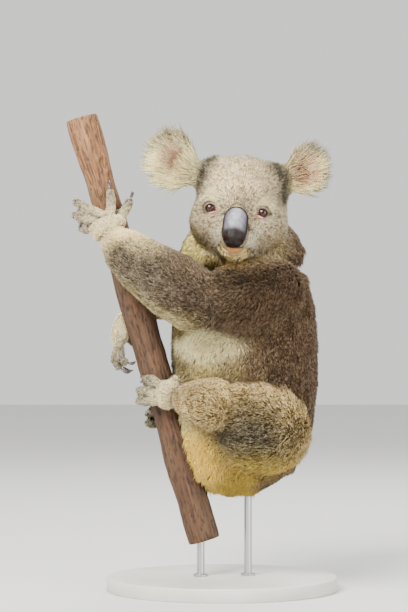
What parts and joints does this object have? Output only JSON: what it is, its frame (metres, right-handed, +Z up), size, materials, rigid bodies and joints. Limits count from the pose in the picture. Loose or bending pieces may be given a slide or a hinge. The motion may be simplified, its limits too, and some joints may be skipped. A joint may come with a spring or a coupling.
{
  "type": "koala figure on a perch",
  "caption": "Life-size still figure of a koala clinging with hands and feet to a leaning cut trunk, held up by rods on a flat round base.",
  "frame": {"origin": "centre of the flat underside of the stand's round base", "axes": "+Z up, -Y the way the face looks, -X the way the koala's chest and the trunk's lean point, +X towards its back"},
  "size_m": [0.353, 0.3, 0.6196],
  "materials": {
    "fur_grey": "dense matt fur, grey with light tips",
    "fur_brown": "dense matt fur, brown-grey with dark roots",
    "fur_pale": "short matt fur, pale grey to cream",
    "nose_leather": "bare skin, satin",
    "eye": "wet gloss",
    "claw_horn": "dark horn, satin",
    "bark": "smooth reddish bark",
    "base_paint": "plain satin paint",
    "rod_steel": "brushed"
  },
  "bodies": {
    "root": {"claw_left_foot_2": "claw_horn", "claw_left_foot_3": "claw_horn", "claw_left_foot_4": "claw_horn", "claw_left_foot_5": "claw_horn", "claw_left_hand_1": "claw_horn", "claw_left_hand_2": "claw_horn", "claw_left_hand_3": "claw_horn", "claw_left_hand_4": "claw_horn", "claw_left_hand_5": "claw_horn", "claw_right_foot_2": "claw_horn", "claw_right_foot_3": "claw_horn", "claw_right_foot_4": "claw_horn", "claw_right_foot_5": "claw_horn", "claw_right_hand_1": "claw_horn", "claw_right_hand_2": "claw_horn", "claw_right_hand_3": "claw_horn", "claw_right_hand_4": "claw_horn", "claw_right_hand_5": "claw_horn", "ear_left": "fur_pale", "ear_right": "fur_pale", "eye_left": "eye", "eye_right": "eye", "head": "fur_grey", "left_foot": "fur_pale", "left_forearm": "fur_grey", "left_hand": "fur_pale", "left_shank": "fur_grey", "left_thigh": "fur_grey", "left_upper_arm": "fur_brown", "neck": "fur_brown", "nose": "nose_leather", "perch": "bark", "right_foot": "fur_pale", "right_forearm": "fur_grey", "right_hand": "fur_pale", "right_shank": "fur_grey", "right_thigh": "fur_grey", "right_upper_arm": "fur_brown", "stand_base": "base_paint", "stand_rod_perch": "rod_steel", "stand_rod_rump": "rod_steel", "torso": "fur_brown"}
  },
  "joints": []
}
